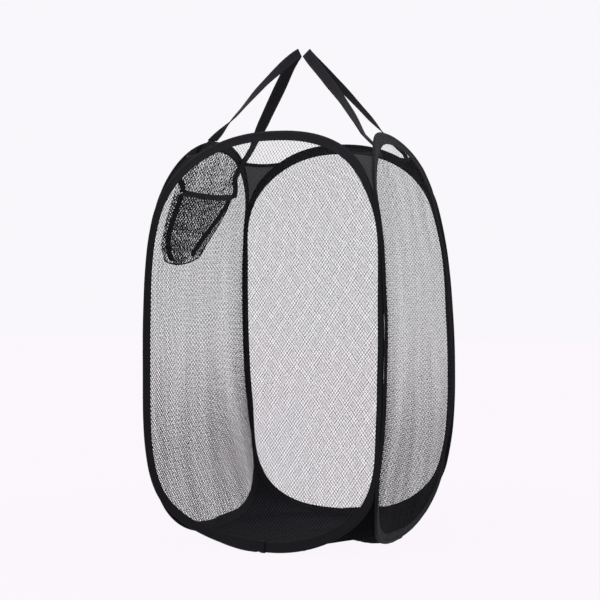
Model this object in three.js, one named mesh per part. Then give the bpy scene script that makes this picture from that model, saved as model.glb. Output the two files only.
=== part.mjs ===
// Pop-up laundry hamper: four sprung wire loops in cloth bindings, mesh sides, a cloth floor,
// corner gussets, a mesh pocket inside the left side and two webbing handles.
// Millimetres, +Z up. The origin is on the ground under the middle of the hamper.
// The front faces -Y. Every side is drawn once in its own frame and turned into place.
// In a side's frame u runs along the side, z is up and b is the depth inwards from its middle plane.
import * as THREE from 'three';

// Overall size
const bodyWidth = 356;
const bodyHeight = 582;
const groundGap = 1.5;
const seatGap = 0.3;

// Outline of a loop: two upright sides between a high crown arch and a lower foot arch
const crownHeight = 180;
const footHeight = 145;
const archExponent = 2.3;
const archSteps = 10;

// Wire loop and the ferrule that joins its ends
const wireRadius = 1;
const wireSides = 6;
const wireEndGap = 1;
const ferruleBoreGap = 0.3;
const ferruleWall = 0.25;
const ferruleLength = 24;
const ferruleSides = 8;

// Cloth binding, folded over the wire and open inwards to take the edge of the mesh
const bindingCloth = 0.7;
const channelRoom = 0.55;
const crownBindingWidth = 14;
const sideBindingWidth = 10;
const netSeam = 5;
const netThickness = 0.8;

// Mesh sides, with their diamond gaps drawn large
const gapWidth = 42;
const gapHeight = 80;
const strandWidth = 6;
const netBorder = 4;

// Gussets and floor
const clothThickness = 0.8;
const floorThickness = 1.2;
const crownGussetDrop = 25.5;
const gussetTipInset = 6.3;
const gussetSteps = 8;
const gussetSagShare = 0.12;

// Handles
const webbingWidth = 20;
const webbingThickness = 1.6;
const handleEndReach = 78;
const handleEndLength = 12;
const handleMeetGap = 6;
const handleHeight = 133.5;
const handleHingeHeight = 5;
const rightHandleReach = 58;
const leftHandleReach = 41;
const handleSteps = 22;
const handleBow = 10;
const handleSquareShare = 0.4;
const handleClear = 1.2;

// Pocket inside the left side: heights below the crown, places along it as shares of its half width
const pocketMouthDrop = 76.5;
const pocketHeight = 99;
const pocketBackHeight = 111;
const mouthNearShare = 0.685;
const mouthFarShare = -0.28;
const footNearShare = 0.554;
const footFarShare = 0.097;
const backNearShare = 0.7595;
const backFootShare = -0.006;
const backHeadShare = -0.509;
const pocketMouthDepth = 15;
const pocketNearWidth = 9;
const pocketFarWidth = 34;
const pocketBandHeight = 8;
const pocketBandThickness = 2.4;
const pocketTapeWidth = 5;
const pocketTapeThickness = 1.2;
const sideStartShare = 0.25;
const rimTiltShare = 0.5;
const rimBendShare = 0.66;
const pocketGapWidth = 30;
const pocketGapHeight = 40;
const pocketStrandWidth = 5;

// Sizes that follow
const ferruleBore = wireRadius + ferruleBoreGap;
const ferruleRadius = ferruleBore + ferruleWall;
const channelHalf = ferruleRadius + channelRoom;
const wireInset = bindingCloth + channelHalf;
const bindingThickness = 2 * (channelHalf + bindingCloth);
const bindingHalf = bindingThickness / 2;
const lipInner = netThickness / 2 + seatGap;
const lipOuter = lipInner + bindingCloth;
const half = bodyWidth / 2;
const sideCentre = -(bindingThickness + seatGap) / 2;
const sideHalf = half + sideCentre;
const footZ = groundGap;
const crownZ = footZ + bodyHeight;
const sideFoot = footZ + footHeight;
const sideCrown = crownZ - crownHeight;
const middleDepth = half - bindingHalf;
const gussetFootZ = footZ + clothThickness;
const crownGussetTop = crownZ - crownGussetDrop;
const pocketMouthZ = crownZ - pocketMouthDrop;
const pocketFootZ = pocketMouthZ - pocketHeight;
const pocketBackFootZ = pocketMouthZ - pocketBackHeight;
const pocketMouthNear = sideCentre + sideHalf * mouthNearShare;
const pocketMouthFar = sideCentre + sideHalf * mouthFarShare;
const pocketFootNear = sideCentre + sideHalf * footNearShare;
const pocketFootFar = sideCentre + sideHalf * footFarShare;
const pocketBackNear = sideCentre + sideHalf * backNearShare;
const pocketBackFarFoot = sideCentre + sideHalf * backFootShare;
const pocketBackFarHead = sideCentre + sideHalf * backHeadShare;

// Reach of the outline to either side of its centre line at a height
function reachAt(z) {
  let climb = 0;
  if (z > sideCrown) climb = (z - sideCrown) / crownHeight;
  if (z < sideFoot) climb = (sideFoot - z) / footHeight;
  return sideHalf * (1 - Math.min(climb, 1) ** archExponent) ** (1 / archExponent);
}

// How far the outline stands in from the upright corner line at a height
function insetAt(z) {
  return sideHalf - reachAt(z);
}

// Stations round a loop, anticlockwise from the right end of the crown, with inward directions
function loopStations() {
  const points = [];
  const power = 2 / archExponent;
  const addArch = (centreZ, rise, startTurn) => {
    for (let i = 0; i <= 2 * archSteps; i += 1) {
      const turn = startTurn + (Math.PI * i) / (2 * archSteps);
      const across = Math.sign(Math.cos(turn)) * Math.abs(Math.cos(turn)) ** power;
      const up = Math.sign(Math.sin(turn)) * Math.abs(Math.sin(turn)) ** power;
      points.push(new THREE.Vector2(sideCentre + sideHalf * across, centreZ + rise * up));
    }
  };
  addArch(sideCrown, crownHeight, 0);
  addArch(sideFoot, footHeight, Math.PI);
  return points.map((point, i) => {
    const before = points[(i + points.length - 1) % points.length];
    const after = points[(i + 1) % points.length];
    const along = after.clone().sub(before).normalize();
    const inward = new THREE.Vector2(-along.y, along.x);
    const level = Math.abs(inward.y);
    const width = sideBindingWidth + (crownBindingWidth - sideBindingWidth) * level;
    return { point, inward, width };
  });
}
const stations = loopStations();

// A point of a side, moved inwards in its plane from a station
function insetPoint(station, inset) {
  return station.point.clone().addScaledVector(station.inward, inset);
}

// A side's own axes: u along the side, b inwards, z up
function sidePoint(u, b, z) {
  return new THREE.Vector3(u, b - middleDepth, z);
}

// Closed body from points and faces, each face a list of point numbers seen from outside
function bodyOf(points, faces) {
  const geometry = new THREE.BufferGeometry();
  const index = [];
  faces.forEach((face) => {
    for (let i = 2; i < face.length; i += 1) index.push(face[0], face[i - 1], face[i]);
  });
  geometry.setAttribute('position', new THREE.Float32BufferAttribute(points.flatMap((p) => p.toArray()), 3));
  geometry.setIndex(index);
  return outward(geometry);
}

// Turns a closed body's faces to point out, if they point in
function outward(geometry) {
  const position = geometry.getAttribute('position');
  const index = geometry.getIndex();
  const [a, b, c] = [new THREE.Vector3(), new THREE.Vector3(), new THREE.Vector3()];
  let volume = 0;
  for (let i = 0; i < index.count; i += 3) {
    a.fromBufferAttribute(position, index.getX(i));
    b.fromBufferAttribute(position, index.getX(i + 1));
    c.fromBufferAttribute(position, index.getX(i + 2));
    volume += a.dot(b.cross(c));
  }
  if (volume < 0) {
    for (let i = 0; i < index.count; i += 3) {
      const first = index.getX(i);
      index.setX(i, index.getX(i + 1));
      index.setX(i + 1, first);
    }
  }
  geometry.computeVertexNormals();
  return geometry;
}

// Joins sections of the same number of points into a body, closed on itself or with an end face each
function sweep(sections, closed) {
  const count = sections[0].length;
  const faces = [];
  const runs = closed ? sections.length : sections.length - 1;
  for (let s = 0; s < runs; s += 1) {
    const next = (s + 1) % sections.length;
    for (let i = 0; i < count; i += 1) {
      const j = (i + 1) % count;
      faces.push([s * count + i, s * count + j, next * count + j, next * count + i]);
    }
  }
  if (!closed) {
    const last = (sections.length - 1) * count;
    faces.push(Array.from({ length: count }, (_, i) => count - 1 - i));
    faces.push(Array.from({ length: count }, (_, i) => last + i));
  }
  return bodyOf(sections.flat(), faces);
}

// A cloth sheet between rows of points, thickened to both sides along the given direction
function clothSheet(rows, direction, thickness) {
  const lift = direction.clone().setLength(thickness / 2);
  const sections = rows.map((row) => {
    const front = row.map((point) => point.clone().add(lift));
    const back = row.map((point) => point.clone().sub(lift)).reverse();
    return [...front, ...back];
  });
  return clothBody(sections);
}

// Like sweep, but its end faces are strips, so a bent row stays whole
function clothBody(sections) {
  const count = sections[0].length;
  const faces = [];
  for (let s = 0; s + 1 < sections.length; s += 1) {
    for (let i = 0; i < count; i += 1) {
      const j = (i + 1) % count;
      faces.push([s * count + i, s * count + j, (s + 1) * count + j, (s + 1) * count + i]);
    }
  }
  const last = (sections.length - 1) * count;
  for (let i = 0; i + 1 < count / 2; i += 1) {
    const across = [i, i + 1, count - 2 - i, count - 1 - i];
    faces.push([...across].reverse());
    faces.push(across.map((n) => last + n));
  }
  return bodyOf(sections.flat(), faces);
}

// A straight bar of rectangular section between two points
function flatBar(start, end, widthDirection, width, thickness) {
  const along = end.clone().sub(start).normalize();
  const across = widthDirection.clone().normalize();
  const up = along.clone().cross(across).normalize();
  const section = (point) => [[-1, -1], [1, -1], [1, 1], [-1, 1]].map(([w, t]) => point.clone()
    .addScaledVector(across, (w * width) / 2).addScaledVector(up, (t * thickness) / 2));
  return sweep([section(start), section(end)], false);
}

// Cloth binding of a loop: a folded tape whose lips hold the mesh
function bindingGeometry() {
  const skin = bindingCloth;
  const edge = lipOuter;
  const sections = stations.map((station) => {
    const width = station.width;
    const profile = [
      [0, -edge], [0, edge], [wireInset, bindingHalf], [width, lipOuter], [width, lipInner],
      [wireInset, channelHalf], [skin, edge - skin / 2], [skin, skin / 2 - edge],
      [wireInset, -channelHalf], [width, -lipInner], [width, -lipOuter], [wireInset, -bindingHalf],
    ];
    return profile.map(([inset, depth]) => {
      const flat = insetPoint(station, inset);
      return sidePoint(flat.x, depth, flat.y);
    });
  });
  return sweep(sections, true);
}

// The stations of the wire, from one side of the ferrule at the foot round to the other
function wirePath() {
  const foot = stations.reduce((best, s, i) => (s.point.y < stations[best].point.y ? i : best), 0);
  const turned = [...stations.slice(foot), ...stations.slice(0, foot)];
  const path = turned.map((station) => insetPoint(station, wireInset));
  const middle = path[0].clone();
  const start = middle.clone().add(new THREE.Vector2(wireEndGap / 2, 0));
  const end = middle.clone().sub(new THREE.Vector2(wireEndGap / 2, 0));
  const straight = new THREE.Vector2(ferruleLength / 2 + wireRadius, 0);
  const clear = path.filter((point) => Math.abs(point.x - middle.x) > straight.x || point.y > sideFoot);
  const rising = [start, middle.clone().add(straight)];
  return [...rising, ...clear, middle.clone().sub(straight), end];
}

// Sprung wire loop with its two ends facing each other inside the ferrule
function wireGeometry() {
  const path = wirePath();
  const sections = path.map((point, i) => {
    const before = path[Math.max(i - 1, 0)];
    const after = path[Math.min(i + 1, path.length - 1)];
    const atEnd = i === 0 || i === path.length - 1;
    const along = atEnd ? new THREE.Vector2(1, 0) : after.clone().sub(before).normalize();
    const across = new THREE.Vector2(-along.y, along.x);
    return Array.from({ length: wireSides }, (_, k) => {
      const turn = (2 * Math.PI * k) / wireSides;
      const flat = point.clone().addScaledVector(across, wireRadius * Math.cos(turn));
      return sidePoint(flat.x, wireRadius * Math.sin(turn), flat.y);
    });
  });
  return sweep(sections, false);
}

// Crimped sleeve round the wire's two ends
function ferruleGeometry() {
  const foot = wirePath()[0];
  const centre = foot.x - wireEndGap / 2;
  const ring = (u, radius) => Array.from({ length: ferruleSides }, (_, k) => {
    const turn = (2 * Math.PI * k) / ferruleSides;
    return sidePoint(u, radius * Math.sin(turn), foot.y + radius * Math.cos(turn));
  });
  const [left, right] = [centre - ferruleLength / 2, centre + ferruleLength / 2];
  return sweep([ring(left, ferruleBore), ring(left, ferruleRadius), ring(right, ferruleRadius),
    ring(right, ferruleBore)], true);
}

// True where a point lies inside a closed outline
function inside(outline, x, y) {
  let within = false;
  outline.forEach((a, i) => {
    const b = outline[(i + outline.length - 1) % outline.length];
    const crosses = (a.y > y) !== (b.y > y);
    if (crosses && x < ((b.x - a.x) * (y - a.y)) / (b.y - a.y) + a.x) within = !within;
  });
  return within;
}

// Distance from a point to a closed outline
function edgeDistance(outline, x, y) {
  const point = new THREE.Vector3(x, y, 0);
  const near = new THREE.Vector3();
  return outline.reduce((least, a, i) => {
    const b = outline[(i + 1) % outline.length];
    const line = new THREE.Line3(new THREE.Vector3(a.x, a.y, 0), new THREE.Vector3(b.x, b.y, 0));
    line.closestPointToPoint(point, true, near);
    return Math.min(least, near.distanceTo(point));
  }, Infinity);
}

// A flat mesh: an outline with staggered diamond gaps, extruded to the net's thickness
function netGeometry(outline, pitchU, pitchZ, strand, centreU, centreZ) {
  const shape = new THREE.Shape(outline);
  const xs = outline.map((p) => p.x);
  const ys = outline.map((p) => p.y);
  const openU = pitchU / 2 - strand / 2;
  const openZ = pitchZ / 2 - (strand * pitchZ) / pitchU / 2;
  const columns = Math.ceil((Math.max(...xs) - Math.min(...xs)) / pitchU) * 2;
  const rows = Math.ceil((Math.max(...ys) - Math.min(...ys)) / pitchZ) * 2;
  for (let r = -rows; r <= rows; r += 1) {
    for (let c = -columns; c <= columns; c += 1) {
      const x = centreU + (c + Math.abs(r % 2) / 2) * pitchU;
      const y = centreZ + (r * pitchZ) / 2;
      const corners = [[openU, 0], [0, openZ], [-openU, 0], [0, -openZ]]
        .map(([du, dz]) => new THREE.Vector2(x + du, y + dz));
      const clear = (p) => inside(outline, p.x, p.y) && edgeDistance(outline, p.x, p.y) > netBorder;
      if (corners.every(clear)) shape.holes.push(new THREE.Path(corners));
    }
  }
  const settings = { depth: netThickness, bevelEnabled: false, curveSegments: 1 };
  const geometry = new THREE.ExtrudeGeometry(shape, settings);
  geometry.rotateX(Math.PI / 2);
  geometry.translate(0, netThickness / 2, 0);
  return geometry;
}

// Mesh side, its edge held between the lips of the binding
function sideNetGeometry() {
  const outline = stations.map((station) => insetPoint(station, station.width - netSeam));
  const middleZ = (sideFoot + sideCrown) / 2;
  const geometry = netGeometry(outline, gapWidth, gapHeight, strandWidth, sideCentre, middleZ);
  geometry.translate(0, -middleDepth, 0);
  return geometry;
}

// Direction out of the corner at the right end of the front side
const cornerWay = new THREE.Vector3(1, -1, 0).normalize();

// Row of a gusset at a height, from the front's arch to the right side's arch, slack in the middle
function gussetRow(z) {
  const seat = bindingThickness + seatGap + clothThickness / 2;
  const inset = insetAt(z) + wireInset;
  const own = new THREE.Vector3(half - bindingThickness - seatGap - inset, seat - half, z);
  const next = new THREE.Vector3(half - seat, inset - half, z);
  const middle = own.clone().add(next).divideScalar(2);
  middle.addScaledVector(cornerWay, own.distanceTo(next) * gussetSagShare);
  return [own, middle, next];
}

// Cloth gusset at the right end of a side, between its arch and the next side's arch
function gussetGeometry(tipZ, openZ) {
  const rows = [];
  for (let i = 0; i <= gussetSteps; i += 1) rows.push(gussetRow(tipZ + ((openZ - tipZ) * i) / gussetSteps));
  return clothSheet(rows, cornerWay, clothThickness);
}

// Height on an arch where the outline has come in by a given inset
function heightOfInset(inset, straightZ, rise) {
  const share = (1 - (1 - inset / sideHalf) ** archExponent) ** (1 / archExponent);
  return straightZ + rise * share;
}

// Cloth floor: a square whose corners are cut off under the gussets' lower edges
function floorGeometry() {
  const [own, middle, next] = gussetRow(gussetFootZ).map((p) => p.addScaledVector(cornerWay, clothThickness));
  const corner = [[own.x, -half], [own.x, own.y], [middle.x, middle.y], [next.x, next.y], [half, next.y]]
    .map(([x, y]) => new THREE.Vector2(x, y));
  const outline = [];
  for (let i = 0; i < 4; i += 1) {
    corner.forEach((p) => outline.push(p.clone().rotateAround(new THREE.Vector2(), (Math.PI / 2) * i)));
  }
  return new THREE.ExtrudeGeometry(new THREE.Shape(outline), { depth: floorThickness, bevelEnabled: false });
}

// Height of a loop's crown above its foot at a distance from its centre line
function crownZAt(u) {
  const share = (1 - (u / sideHalf) ** archExponent) ** (1 / archExponent);
  return sideCrown - footZ + crownHeight * share;
}

// A handle's sewn ends lie on the binding, run over the crown and in to where the strap hinges
const handleTopZ = footZ + crownZAt(handleEndReach - webbingWidth / 2 + sideCentre) + handleClear;
const handleEndX = half + seatGap + webbingThickness / 2;
const handleHingeZ = handleTopZ + handleHingeHeight;
const handlePeakZ = crownZ + handleHeight;

// Webbing strap of the right side's handle, from one hinge line up to a peak and back to the other
function handleGeometry(reach) {
  const peakX = handleMeetGap + webbingWidth / 2;
  const hingeX = half - reach;
  const rise = handlePeakZ - webbingThickness / 2 - handleHingeZ;
  const path = [];
  const widths = [];
  const squareShares = [];
  const across = new THREE.Vector3(0, 1, 0);
  for (let i = 0; i <= handleSteps; i += 1) {
    const side = (2 * i) / handleSteps - 1;
    const share = 1 - Math.abs(side);
    const bow = handleBow * Math.sin(Math.PI * share) * share;
    path.push(new THREE.Vector3(hingeX + (peakX - hingeX) * share + bow, side * handleEndReach,
      handleHingeZ + rise * share));
    widths.push(across.clone().lerp(new THREE.Vector3(side < 0 ? 1 : -1, 0, 0), share ** 2).normalize());
    squareShares.push(Math.min(share / handleSquareShare, 1));
  }
  return ribbon(path, widths, webbingWidth, webbingThickness, squareShares);
}

// Sewn end of the right side's handle: flat on the binding, over the crown and in to the hinge line
function handleEndGeometry(side, reach) {
  const place = (x, z) => new THREE.Vector3(x, side * handleEndReach, z);
  const path = [place(handleEndX, handleTopZ - handleEndLength), place(handleEndX, handleTopZ),
    place(half - bindingThickness - seatGap, handleTopZ + webbingThickness),
    place(half - reach, handleHingeZ - webbingThickness - seatGap)];
  const across = new THREE.Vector3(0, 1, 0);
  return ribbon(path, path.map(() => across), webbingWidth, webbingThickness, path.map(() => 0));
}

// A flat ribbon along a path; the width directions turn with it, set square to it by their shares
function ribbon(path, widths, width, thickness, squareShares) {
  let previous = null;
  const sections = path.map((point, i) => {
    const before = path[Math.max(i - 1, 0)];
    const after = path[Math.min(i + 1, path.length - 1)];
    const along = after.clone().sub(before).normalize();
    const excess = widths[i].dot(along) * squareShares[i];
    const across = widths[i].clone().addScaledVector(along, -excess).normalize();
    if (previous && previous.dot(across) < 0) across.negate();
    previous = across;
    const up = along.clone().cross(across).normalize();
    return [[-1, -1], [1, -1], [1, 1], [-1, 1]].map(([w, t]) => point.clone()
      .addScaledVector(across, (w * width) / 2).addScaledVector(up, (t * thickness) / 2));
  });
  return sweep(sections, false);
}

// Pocket depth of the front sheet's middle at a height: shut at the foot, open at the mouth
const pocketBackB = netThickness / 2 + seatGap + netThickness / 2;
const pocketFootB = pocketBackB + netThickness + seatGap;
function pocketDepthAt(z) {
  return pocketFootB + (pocketMouthDepth * (z - pocketFootZ)) / (pocketMouthZ - pocketFootZ);
}

// Second mesh layer against the side, up to the crown binding: the pocket's back
function pocketBackGeometry() {
  const edge = stations.map((station) => insetPoint(station, station.width + seatGap));
  const crown = edge.filter((p) => p.x < pocketBackNear && p.x > pocketBackFarHead && p.y > pocketMouthZ);
  const nearEdge = crownEdgeAt(edge, pocketBackNear);
  const farEdge = crownEdgeAt(edge, pocketBackFarHead);
  const outline = [
    new THREE.Vector2(pocketBackNear, pocketFootZ), new THREE.Vector2(pocketBackNear, nearEdge), ...crown,
    new THREE.Vector2(pocketBackFarHead, farEdge), new THREE.Vector2(pocketBackFarHead, pocketMouthZ),
    new THREE.Vector2(pocketBackFarFoot, pocketBackFootZ),
    new THREE.Vector2(pocketFootNear, pocketBackFootZ),
  ];
  const geometry = netGeometry(outline, pocketGapWidth, pocketGapHeight, pocketStrandWidth,
    (pocketBackNear + pocketBackFarHead) / 2, pocketMouthZ);
  geometry.translate(0, pocketBackB - middleDepth, 0);
  return geometry;
}

// Height of the crown edge of an outline at a place along the side
function crownEdgeAt(edge, u) {
  for (let i = 0; i < edge.length; i += 1) {
    const [a, b] = [edge[i], edge[(i + 1) % edge.length]];
    const spans = (a.x - u) * (b.x - u) <= 0 && a.x !== b.x;
    if (spans && Math.min(a.y, b.y) > sideCrown) return a.y + ((b.y - a.y) * (u - a.x)) / (b.x - a.x);
  }
  return sideCrown;
}

// Front mesh of the pocket, leaning in from its foot to its mouth
function pocketFrontGeometry() {
  const top = pocketMouthZ - pocketBandHeight - seatGap;
  const riseShare = (z) => (z - pocketFootZ) / (pocketMouthZ - pocketFootZ);
  const edgeAt = (z, foot, mouth) => foot + (mouth - foot) * riseShare(z);
  const outline = [
    new THREE.Vector2(edgeAt(pocketFootZ, pocketFootNear, pocketMouthNear), pocketFootZ),
    new THREE.Vector2(edgeAt(top, pocketFootNear, pocketMouthNear), top),
    new THREE.Vector2(edgeAt(top, pocketFootFar, pocketMouthFar), top),
    new THREE.Vector2(edgeAt(pocketFootZ, pocketFootFar, pocketMouthFar), pocketFootZ),
  ];
  const geometry = netGeometry(outline, pocketGapWidth, pocketGapHeight, pocketStrandWidth,
    (pocketFootNear + pocketFootFar) / 2, (pocketMouthZ + pocketFootZ) / 2);
  geometry.translate(0, 0, -pocketFootZ);
  geometry.rotateX(-pocketLean);
  geometry.translate(0, pocketFootB - middleDepth, pocketFootZ);
  return geometry;
}
const pocketLean = Math.atan2(pocketMouthDepth, pocketMouthZ - pocketFootZ);

// A point on the pocket's front sheet
function pocketPoint(u, z, lift) {
  return sidePoint(u, pocketDepthAt(z) + lift, z);
}

// Binding along the pocket's mouth
function pocketBandGeometry() {
  const z = pocketMouthZ - pocketBandHeight / 2;
  const up = new THREE.Vector3(0, pocketMouthDepth, pocketMouthZ - pocketFootZ);
  return flatBar(pocketPoint(pocketMouthNear, z, 0), pocketPoint(pocketMouthFar, z, 0), up,
    pocketBandHeight, pocketBandThickness);
}

// Tape along one sloping edge of the pocket's front sheet, on its inner face
function pocketSeamGeometry(footU, mouthU) {
  const lift = netThickness / 2 + seatGap + pocketTapeThickness / 2;
  const head = pocketMouthZ - pocketBandHeight - pocketTapeWidth / 2;
  const headU = footU + ((mouthU - footU) * (head - pocketFootZ)) / (pocketMouthZ - pocketFootZ);
  return flatBar(pocketPoint(footU, pocketFootZ, lift), pocketPoint(headU, head, lift),
    new THREE.Vector3(1, 0, 0), pocketTapeWidth, pocketTapeThickness);
}

// Narrow side of the pocket, a flat flap from the front sheet's edge back to the side's mesh
function pocketSideGeometry(footU, mouthU, outwards) {
  const sign = Math.sign(outwards);
  const seatB = pocketBackB + netThickness + seatGap;
  const top = pocketMouthZ - pocketBandHeight;
  const start = pocketFootZ + (pocketMouthZ - pocketFootZ) * sideStartShare;
  const rows = [start, top].map((z) => {
    const share = (z - pocketFootZ) / (pocketMouthZ - pocketFootZ);
    const edge = footU + (mouthU - footU) * share + sign * (pocketTapeWidth / 2 + seatGap);
    const reach = (outwards * (pocketDepthAt(z) - seatB)) / (pocketDepthAt(pocketMouthZ) - seatB);
    return [pocketPoint(edge, z, 0), sidePoint(edge + reach, seatB, z)];
  });
  return clothSheet(rows, new THREE.Vector3(sign, 1, 0), clothThickness);
}

// Rim tape from one end of the pocket's band up to the crown binding
function pocketRimGeometry(mouthU, headU) {
  const sign = Math.sign(headU - mouthU);
  const seatB = bindingHalf + seatGap + pocketTapeThickness / 2;
  const edge = stations.map((station) => insetPoint(station, station.width / 2));
  const headZ = crownEdgeAt(edge, headU);
  const startU = mouthU + sign * (pocketTapeWidth / 2 + seatGap);
  const start = pocketPoint(startU, pocketMouthZ - pocketBandHeight / 2, 0);
  const middleU = mouthU + (headU - mouthU) * rimBendShare;
  const middle = sidePoint(middleU, (pocketDepthAt(pocketMouthZ) + seatB) / 2, pocketMouthZ);
  const end = sidePoint(headU, seatB, headZ);
  const curve = new THREE.QuadraticBezierCurve3(start, middle, end);
  const path = curve.getPoints(gussetSteps);
  const widths = path.map(() => new THREE.Vector3(-sign * rimTiltShare, 0, 1));
  return ribbon(path, widths, pocketTapeWidth, pocketTapeThickness, path.map(() => 1));
}

// Finishes: colour, roughness and metalness of each kind of piece
const finishes = {
  binding: { color: 0x1e1e22, roughness: 0.82, metalness: 0 },
  net: { color: 0x232327, roughness: 0.7, metalness: 0 },
  gusset: { color: 0x2b2b30, roughness: 0.85, metalness: 0 },
  floor: { color: 0x16161a, roughness: 0.85, metalness: 0 },
  webbing: { color: 0x202126, roughness: 0.75, metalness: 0 },
  wire: { color: 0x8d9094, roughness: 0.35, metalness: 1 },
  ferrule: { color: 0x9a9da1, roughness: 0.4, metalness: 1 },
};

const hamper = new THREE.Group();

// Adds a piece to a group under its own name and finish
function add(group, name, geometry, finish) {
  const mesh = new THREE.Mesh(geometry, new THREE.MeshStandardMaterial(finishes[finish]));
  mesh.name = name;
  group.add(mesh);
}

// The four sides, each turned a quarter further round, and the gussets at their right ends
const corners = ['front_right', 'back_right', 'back_left', 'front_left'];
const crownTip = heightOfInset(gussetTipInset, sideCrown, crownHeight);
const footTip = heightOfInset(gussetTipInset, sideFoot, -footHeight);
const groups = {};
['front', 'right', 'back', 'left'].forEach((side, i) => {
  const group = new THREE.Group();
  group.rotation.z = (Math.PI / 2) * i;
  add(group, `${side}_wire_loop`, wireGeometry(), 'wire');
  add(group, `${side}_wire_ferrule`, ferruleGeometry(), 'ferrule');
  add(group, `${side}_binding`, bindingGeometry(), 'binding');
  add(group, `${side}_mesh`, sideNetGeometry(), 'net');
  add(group, `top_gusset_${corners[i]}`, gussetGeometry(crownTip, crownGussetTop), 'gusset');
  add(group, `bottom_gusset_${corners[i]}`, gussetGeometry(footTip, gussetFootZ), 'floor');
  groups[side] = group;
  hamper.add(group);
});

add(hamper, 'floor_cloth', floorGeometry(), 'floor');

// The two handles: the left one is drawn as the right one and turned half round
const handleReaches = { right: rightHandleReach, left: leftHandleReach };
Object.entries(handleReaches).forEach(([side, reach], i) => {
  const group = new THREE.Group();
  group.rotation.z = Math.PI * i;
  const near = i ? 1 : -1;
  add(group, `${side}_handle`, handleGeometry(reach), 'webbing');
  add(group, `${side}_handle_near_end`, handleEndGeometry(near, reach), 'webbing');
  add(group, `${side}_handle_far_end`, handleEndGeometry(-near, reach), 'webbing');
  hamper.add(group);
});

// The pocket hangs inside the left side
add(groups.left, 'pocket_back_mesh', pocketBackGeometry(), 'net');
add(groups.left, 'pocket_front_mesh', pocketFrontGeometry(), 'net');
add(groups.left, 'pocket_mouth_band', pocketBandGeometry(), 'binding');
add(groups.left, 'pocket_near_seam', pocketSeamGeometry(pocketFootNear, pocketMouthNear), 'binding');
add(groups.left, 'pocket_far_seam', pocketSeamGeometry(pocketFootFar, pocketMouthFar), 'binding');
const nearSide = pocketSideGeometry(pocketFootNear, pocketMouthNear, pocketNearWidth);
add(groups.left, 'pocket_near_side', nearSide, 'net');
const farSide = pocketSideGeometry(pocketFootFar, pocketMouthFar, -pocketFarWidth);
add(groups.left, 'pocket_far_side', farSide, 'net');
add(groups.left, 'pocket_near_rim', pocketRimGeometry(pocketMouthNear, pocketBackNear), 'binding');
add(groups.left, 'pocket_far_rim', pocketRimGeometry(pocketMouthFar, pocketBackFarHead), 'binding');

export default hamper;
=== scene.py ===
import math
from functools import cache, partial
from itertools import accumulate
import bpy
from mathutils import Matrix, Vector, noise


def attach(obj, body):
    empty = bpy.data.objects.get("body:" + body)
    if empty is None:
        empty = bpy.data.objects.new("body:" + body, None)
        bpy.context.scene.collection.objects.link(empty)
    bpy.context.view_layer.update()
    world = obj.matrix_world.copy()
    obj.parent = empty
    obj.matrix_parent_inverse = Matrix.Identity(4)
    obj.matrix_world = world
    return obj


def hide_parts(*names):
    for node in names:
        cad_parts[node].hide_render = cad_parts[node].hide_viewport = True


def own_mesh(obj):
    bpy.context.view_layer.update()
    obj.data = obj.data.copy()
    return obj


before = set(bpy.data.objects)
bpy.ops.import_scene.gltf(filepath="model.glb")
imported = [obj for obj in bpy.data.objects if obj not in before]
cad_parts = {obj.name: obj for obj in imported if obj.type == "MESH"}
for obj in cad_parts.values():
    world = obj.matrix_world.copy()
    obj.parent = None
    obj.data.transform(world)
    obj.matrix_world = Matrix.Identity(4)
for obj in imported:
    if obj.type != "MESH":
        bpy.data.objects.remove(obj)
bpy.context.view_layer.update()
mm = 0.001
print("frame loaded")

# camera, light and floor
cameraLook = {"place": (0.8053, -2.0860, 0.3764), "turn": 21.11,
              "optics": {"lens": 90.35, "sensor_width": 36, "shift_x": -0.0112, "shift_y": -0.0343}}
studio = {"backdrop": (0.945, 0.928, 0.960), "worldLight": 0.62, "floorSize": 14,
          "floorFade": (0.25, 0.75, 0.982, 1.0), "floorShade": (0.86, 0.85, 0.88), "floorGlow": (0.962, 0.925, 0.970)}
lampAim = (0, 0, 0.3)
lamps = {"key_lamp": {"place": (-1.6, -2.2, 2.4), "size": 1.8, "power": 26.0},
         "fill_lamp": {"place": (2.4, -1.2, 1.6), "size": 2.2, "power": 5.0}}


def clearSelection():
    for thing in list(bpy.context.selected_objects):
        thing.select_set(False)


def pick(obj):
    clearSelection()
    obj.select_set(True)
    bpy.context.view_layer.objects.active = obj


def setAll(thing, settings):
    for key, value in settings.items():
        setattr(thing, key, value)


def makeCamera():
    clearSelection()
    bpy.ops.object.camera_add(location=cameraLook["place"],
                              rotation=(math.radians(90), 0, math.radians(cameraLook["turn"])))
    camera = bpy.context.object
    camera.name = "camera"
    setAll(camera.data, cameraLook["optics"])
    bpy.context.scene.camera = camera


def addLamp(name, settings):
    clearSelection()
    bpy.ops.object.light_add(type="AREA", location=settings["place"])
    lamp = bpy.context.object
    lamp.name = name
    lamp.data.size = settings["size"]
    lamp.data.energy = settings["power"]
    lamp.rotation_euler = (Vector(lampAim) - Vector(settings["place"])).to_track_quat("-Z", "Y").to_euler()


def setInputs(tree, node, values):
    # each input, by name or number, is linked to an output or set to a value
    for key, value in values.items():
        if isinstance(value, bpy.types.NodeSocket):
            tree.links.new(value, node.inputs[key])
        elif value is not None:
            node.inputs[key].default_value = value


def addNode(tree, kind, *sources, **values):
    # sources go to the first inputs; values are settings, or inputs by name
    node = tree.nodes.new(kind)
    for key in [key for key in values if hasattr(node, key)]:
        setattr(node, key, values.pop(key))
    setInputs(tree, node, {**values, **dict(enumerate(sources))})
    return node


def outOf(tree, kind, *sources, **values):
    return addNode(tree, kind, *sources, **values).outputs[0]


def mathOut(tree, operation, a, b=None):
    return outOf(tree, "ShaderNodeMath", a, b, operation=operation)


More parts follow.
